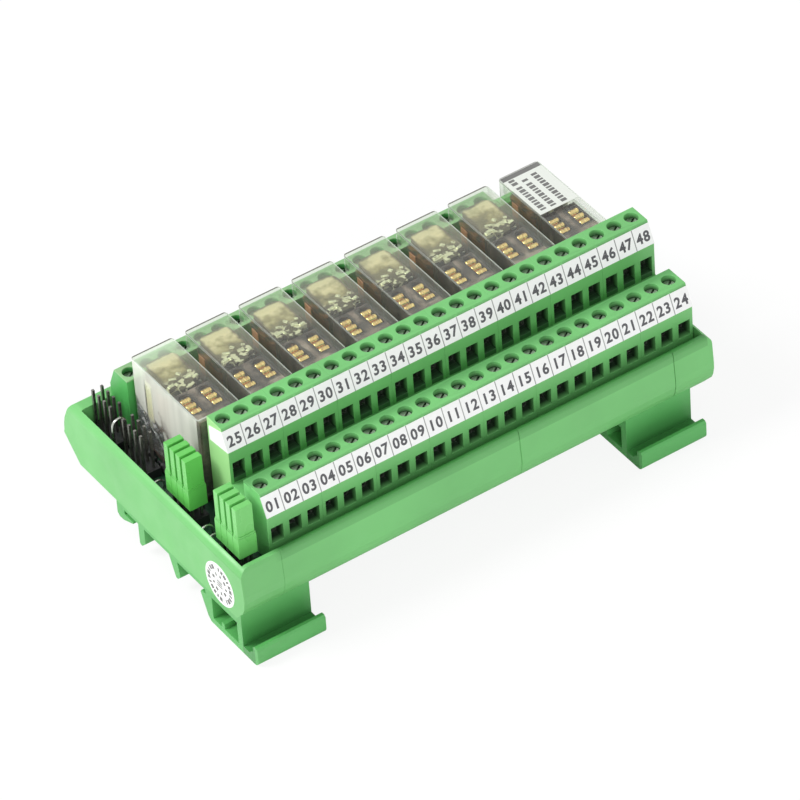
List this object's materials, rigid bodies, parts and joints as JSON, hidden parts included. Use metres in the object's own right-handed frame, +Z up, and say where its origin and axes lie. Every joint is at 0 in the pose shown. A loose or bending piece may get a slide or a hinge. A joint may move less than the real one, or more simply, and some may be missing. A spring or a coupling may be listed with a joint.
{
  "type": "relay module board",
  "caption": "Rail-mounted relay module: clear-cased relays between stepped screw terminal rows on a circuit board in a snap-together tray.",
  "frame": {"origin": "centre of the outer box, on the plane that the two rail feet stand on", "axes": "+X along the terminal rows to the right, +Y from the double-level terminals to the back, +Z up"},
  "size_m": [0.135, 0.082, 0.049],
  "materials": {
    "green_moulding": "satin moulded, soft mould texture",
    "terminal_moulding": "satin moulded",
    "board": "solder resist with white print lines",
    "plated_steel": "zinc plated",
    "paper_label": "matt paper",
    "clear_cover": "clear, glossy",
    "relay_base_moulding": "satin moulded",
    "coil_winding": "lacquered copper wire",
    "contact_alloy": "bare rolled strip",
    "header_moulding": "moulded",
    "pin_plating": "dull plated",
    "jumper_moulding": "glossy moulded",
    "diode_moulding": "moulded",
    "tinned_wire": "tinned wire"
  },
  "bodies": {
    "root": {"left_end_element": "green_moulding", "long_element": "green_moulding", "short_element": "green_moulding", "right_end_element": "green_moulding", "left_rail_foot": "green_moulding", "right_rail_foot": "green_moulding", "terminal_block_1": "terminal_moulding", "terminal_block_2": "terminal_moulding", "terminal_block_3": "terminal_moulding", "terminal_block_4": "terminal_moulding", "terminal_block_5": "terminal_moulding", "terminal_block_6": "terminal_moulding", "terminal_block_7": "terminal_moulding", "terminal_block_8": "terminal_moulding", "back_terminals": "terminal_moulding", "circuit_board": "board", "terminal_screws": "plated_steel", "wire_clamps": "plated_steel", "relay_yokes": "plated_steel", "upper_label_strip": "paper_label", "lower_label_strip": "paper_label", "relay_cover_1": "clear_cover", "relay_cover_2": "clear_cover", "relay_cover_3": "clear_cover", "relay_cover_4": "clear_cover", "relay_cover_5": "clear_cover", "relay_cover_6": "clear_cover", "relay_cover_7": "clear_cover", "relay_cover_8": "clear_cover", "relay_base_1": "relay_base_moulding", "relay_base_2": "relay_base_moulding", "relay_base_3": "relay_base_moulding", "relay_base_4": "relay_base_moulding", "relay_base_5": "relay_base_moulding", "relay_base_6": "relay_base_moulding", "relay_base_7": "relay_base_moulding", "relay_base_8": "relay_base_moulding", "relay_coil_1": "coil_winding", "relay_coil_2": "coil_winding", "relay_coil_3": "coil_winding", "relay_coil_4": "coil_winding", "relay_coil_5": "coil_winding", "relay_coil_6": "coil_winding", "relay_coil_7": "coil_winding", "relay_coil_8": "coil_winding", "relay_contacts": "contact_alloy", "pin_headers": "header_moulding", "header_pins": "pin_plating", "front_jumpers": "jumper_moulding", "rear_jumpers": "jumper_moulding", "diodes": "diode_moulding", "wire_links": "tinned_wire"},
    "armature_1": {"relay_armature_1": "plated_steel"},
    "armature_2": {"relay_armature_2": "plated_steel"},
    "armature_3": {"relay_armature_3": "plated_steel"},
    "armature_4": {"relay_armature_4": "plated_steel"},
    "armature_5": {"relay_armature_5": "plated_steel"},
    "armature_6": {"relay_armature_6": "plated_steel"},
    "armature_7": {"relay_armature_7": "plated_steel"},
    "armature_8": {"relay_armature_8": "plated_steel"}
  },
  "joints": [
    {"name": "armature_1_hinge", "type": "hinge", "parent": "root", "child": "armature_1", "pos_m": [-0.05056, 0.01005, 0.0421], "axis": [1, 0, 0], "range_deg": [-2.5, 0], "stiffness_Nm_per_rad": 0.01, "springref_deg": 8.59},
    {"name": "armature_2_hinge", "type": "hinge", "parent": "root", "child": "armature_2", "pos_m": [-0.03546, 0.01005, 0.0421], "axis": [1, 0, 0], "range_deg": [-2.5, 0], "stiffness_Nm_per_rad": 0.01, "springref_deg": 8.59},
    {"name": "armature_3_hinge", "type": "hinge", "parent": "root", "child": "armature_3", "pos_m": [-0.02036, 0.01005, 0.0421], "axis": [1, 0, 0], "range_deg": [-2.5, 0], "stiffness_Nm_per_rad": 0.01, "springref_deg": 8.59},
    {"name": "armature_4_hinge", "type": "hinge", "parent": "root", "child": "armature_4", "pos_m": [-0.00526, 0.01005, 0.0421], "axis": [1, 0, 0], "range_deg": [-2.5, 0], "stiffness_Nm_per_rad": 0.01, "springref_deg": 8.59},
    {"name": "armature_5_hinge", "type": "hinge", "parent": "root", "child": "armature_5", "pos_m": [0.00984, 0.01005, 0.0421], "axis": [1, 0, 0], "range_deg": [-2.5, 0], "stiffness_Nm_per_rad": 0.01, "springref_deg": 8.59},
    {"name": "armature_6_hinge", "type": "hinge", "parent": "root", "child": "armature_6", "pos_m": [0.02494, 0.01005, 0.0421], "axis": [1, 0, 0], "range_deg": [-2.5, 0], "stiffness_Nm_per_rad": 0.01, "springref_deg": 8.59},
    {"name": "armature_7_hinge", "type": "hinge", "parent": "root", "child": "armature_7", "pos_m": [0.04004, 0.01005, 0.0421], "axis": [1, 0, 0], "range_deg": [-2.5, 0], "stiffness_Nm_per_rad": 0.01, "springref_deg": 8.59},
    {"name": "armature_8_hinge", "type": "hinge", "parent": "root", "child": "armature_8", "pos_m": [0.05514, 0.01005, 0.0421], "axis": [1, 0, 0], "range_deg": [-2.5, 0], "stiffness_Nm_per_rad": 0.01, "springref_deg": 8.59}
  ]
}
